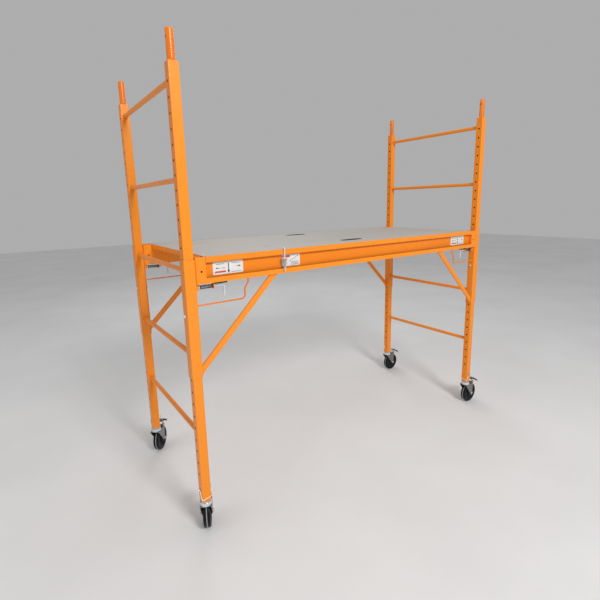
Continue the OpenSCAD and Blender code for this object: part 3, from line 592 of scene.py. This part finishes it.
# Places on a label are shares of its width and height
for index, (x0, x1, z0, z1) in enumerate(labels):
    w, h = x1 - x0, z1 - z0
    if index == 1:
        add_sticker(reds, x0 + 0.05 * w, x0 + 0.46 * w, z1 - 0.25 * h, z1 - 0.09 * h, PRINT_LIFT, PRINT_ROUND)
        rows = [(0.06, 0.30, z1 - (0.36 + 0.11 * k) * h) for k in range(5)]
        rows += [(0.52, 0.92, z0 + (0.12 + 0.11 * k) * h) for k in range(3)]
        add_arrow((x0 + 0.44 * w, z0 + 0.42 * h), (x0 + 0.92 * w, z1 - 0.14 * h), 0.0022)
    else:
        add_sticker(reds, x0 + 0.06 * w, x0 + 0.42 * w, z0 + 0.14 * h, z0 + 0.27 * h, PRINT_LIFT, PRINT_ROUND)
        rows = [(0.10, 0.38, z1 - 0.20 * h), (0.62, 0.90, z1 - 0.20 * h),
                (0.60, 0.92, z0 + 0.12 * h), (0.26, 0.40, z0 + 0.50 * h)]
        add_arrow((x0 + 0.51 * w, z1 - 0.16 * h), (x0 + 0.51 * w, z0 + 0.05 * h), 0.0052)
        add_arrow((x0 + 0.22 * w, z0 + 0.50 * h), (x0 + 0.08 * w, z0 + 0.50 * h), 0.0034)
        add_arrow((x0 + 0.78 * w, z0 + 0.54 * h), (x0 + 0.92 * w, z0 + 0.54 * h), 0.0034)
    for a, b, z in rows:
        add_sticker(inks, x0 + a * w, x0 + b * w, z - LINE_HALF, z + LINE_HALF, PRINT_LIFT, LINE_ROUND)
finish_mesh("label_red_bars", reds, RED, "platform")
finish_mesh("label_marks", inks, INK, "platform")

# ---------------------------------------------------------------- welds


BEAD_SIDES = 8
RUNG_BEAD, SLEEVE_BEAD, BRACE_BEAD = 0.0042, 0.0042, 0.004
RUNG_GAP = 0.03  # heights of the rungs' points further apart than this belong to different rungs


def add_bead(bm, points, size, closed=False):
    """A rippled weld bead along a path."""
    path = []
    for a, b in zip(points, points[1:] + (points[:1] if closed else [])):
        count = max(int((b - a).length / (size * 0.22)), 2)
        path += [a.lerp(b, k / count) for k in range(count)]
    path.append(points[0] if closed else points[-1])
    radii = [size * (0.44 + 0.10 * abs(math.sin(k * 0.55)) + 0.03 * math.sin(k * 0.13))
             for k in range(len(path))]
    add_sweep(bm, path, radii, BEAD_SIDES)


bm = bmesh.new()
rungs = sorted({round(v.co.z, 4) for v in NODES["frame_rungs"].data.vertices})
levels = []
for z in rungs:
    if not levels or z - levels[-1][0] > RUNG_GAP:
        levels.append([z, z])
    levels[-1][1] = z
for corner, _, end in CORNERS:
    low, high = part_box(corner + "_post")
    face = high.y if end < 0 else low.y
    for z0, z1 in levels:
        centre = Vector(((low.x + high.x) / 2, face - end * 0.0008, (z0 + z1) / 2))
        radius = (z1 - z0) / 2 + 0.0006
        seam = [centre + Vector((radius * math.cos(a), 0, radius * math.sin(a))) for a in circle(28)]
        add_bead(bm, seam, RUNG_BEAD, closed=True)
finish_mesh("rung_welds", bm, ORANGE, "end_frames")

bm = bmesh.new()
box_foot, brace_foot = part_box("rail_end_boxes")[0].z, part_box("rail_braces")[0].z
for corner, side, end in CORNERS:
    low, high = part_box(corner + "_sleeve")
    inner = high.x if side < 0 else low.x
    front = low.y if end < 0 else high.y
    # Where the rail's end box meets the sleeve
    start = Vector((inner - side * 0.0008, front - end * 0.0004, box_foot + 0.004))
    add_bead(bm, [start, start + Vector((0, 0, 0.086))], SLEEVE_BEAD)
    # Both sides of the brace where it meets the sleeve
    for y in (front - end * 0.0065, front - end * 0.0175):
        start = Vector((inner - side * 0.001, y, brace_foot + 0.0015))
        add_bead(bm, [start, start + Vector((0, 0, 0.034))], BRACE_BEAD)
finish_mesh("platform_welds", bm, ORANGE, "platform")

# ---------------------------------------------------------------- deck screws and hand slot liners, black as painted shade

deck_low, deck_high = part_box("deck_panel")
SLOT_CENTRES, SLOT_SIDES = [(-0.020, -0.250), (-0.020, 0.250)], 48
STRAIGHT = 0.047  # half of the slot's straight part
INNER, WALL, LIP = 0.0170, 0.0010, 0.0030  # the liner's inner radius, wall and lip
LINER = [(INNER, deck_low.z + 0.0002), (INNER, deck_high.z + 0.0006), (INNER + 0.0006, deck_high.z + 0.0010),
         (INNER + LIP, deck_high.z + 0.0009), (INNER + LIP, deck_high.z + 0.0001),
         (INNER + WALL, deck_high.z + 0.0001), (INNER + WALL, deck_low.z + 0.0002)]
SCREW_ROWS, SCREW_INSET, SCREW_SIDES = (-0.30, -0.10, 0.10, 0.30), 0.016, 20
SCREW_HEAD = [(0.0006, 0.0004), (0.0030, 0.0007), (0.0046, 0.0003), (0.0050, -0.0004), (0.0006, -0.0006)]

# Black liners in the hand slots, standing in as painted shade for the shadow inside them
bm = bmesh.new()
for slot_x, slot_y in SLOT_CENTRES:
    centre = (deck_low + deck_high) / 2 + Vector((slot_x, slot_y, 0))
    rings = []
    for reach, z in LINER:
        ring = []
        for k in range(SLOT_SIDES):
            a = 2 * math.pi * (k + 0.5) / SLOT_SIDES
            x = centre.x + math.copysign(STRAIGHT, math.cos(a)) + reach * math.cos(a)
            ring.append(bm.verts.new((x, centre.y + reach * math.sin(a), z)))
        rings.append(ring)
    for a, b in zip(rings, rings[1:] + rings[:1]):
        for k in range(SLOT_SIDES):
            n = (k + 1) % SLOT_SIDES
            bm.faces.new((a[k], b[k], b[n], a[n]))
finish_mesh("hand_slot_shade_liners", bm, BLACK, "platform")

bm = bmesh.new()
for x in (deck_low.x + SCREW_INSET, deck_high.x - SCREW_INSET):
    for y in SCREW_ROWS:
        centre = Vector((x, (deck_low.y + deck_high.y) / 2 + y, deck_high.z))
        add_lathe(bm, SCREW_HEAD, centre, (0, 0, 1), SCREW_SIDES)
finish_mesh("deck_screws", bm, ZINC, "platform")

# ---------------------------------------------------------------- floor, light and camera

floor_material, tree, shader = new_material("floor", (0.83, 0.83, 0.83), 0.75, specular=0.25)
tone = ramp(tree, noise(tree, 1.3, 3), [(0.3, (0.80, 0.80, 0.80)), (0.7, (0.86, 0.86, 0.86))])
tree.links.new(tone, shader.inputs["Base Color"])
bm = bmesh.new()
bmesh.ops.create_grid(bm, x_segments=2, y_segments=2, size=14)
mesh = bpy.data.meshes.new("floor")
bm.to_mesh(mesh)
bm.free()
floor = bpy.data.objects.new("floor", mesh)
mesh.materials.append(floor_material)
bpy.context.scene.collection.objects.link(floor)

world = bpy.data.worlds.new("studio")
bpy.context.scene.world = world
world.use_nodes = True
background = world.node_tree.nodes["Background"]
background.inputs["Color"].default_value = (1.0, 1.0, 1.0, 1)
background.inputs["Strength"].default_value = 0.42


def area_light(name, place, target, size, power):
    """A round soft light at a place, turned to a target."""
    light = bpy.data.lights.new(name, "AREA")
    light.shape, light.size, light.energy = "DISK", size, power
    lamp = bpy.data.objects.new(name, light)
    bpy.context.scene.collection.objects.link(lamp)
    lamp.location = place
    lamp.rotation_euler = (Vector(target) - Vector(place)).to_track_quat("-Z", "Y").to_euler()


area_light("key", (-0.6, -4.2, 3.4), (0, 0, 0.9), 1.3, 135)
area_light("fill", (-4.2, 0.2, 2.6), (0, 0, 1.0), 2.4, 14)
area_light("back", (1.6, 3.8, 3.6), (0, 0, 1.0), 2.4, 30)
bpy.context.scene.view_settings.view_transform = "Standard"

# The camera solved from the photograph: its place from the middle of the four posts at the floor, its three
# directions and its focal length in the photograph's points
POST_FOOT = 0.152
EYE = Vector((-1.42575, -1.79079, 1.33610))
ACROSS = Vector((0.812652, -0.582344, -0.021758))
DOWN = Vector((-0.131964, -0.147530, -0.980215))
AHEAD = Vector((0.567612, 0.799444, -0.196738))
FOCAL, PHOTO_WIDTH, SENSOR = 405.54, 600, 36

left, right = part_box("front_left_post"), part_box("rear_right_post")
middle = Vector(((left[0].x + right[1].x) / 2, (left[0].y + right[1].y) / 2, left[0].z - POST_FOOT))
camera_data = bpy.data.cameras.new("camera")
camera = bpy.data.objects.new("camera", camera_data)
bpy.context.scene.collection.objects.link(camera)
turn = Matrix((ACROSS, -DOWN, -AHEAD)).transposed()
camera.matrix_world = Matrix.Translation(middle + EYE) @ turn.to_4x4()
camera_data.sensor_width = SENSOR
camera_data.lens = SENSOR * FOCAL / PHOTO_WIDTH
camera_data.shift_x, camera_data.shift_y = -0.0043, -0.0248
bpy.context.scene.camera = camera
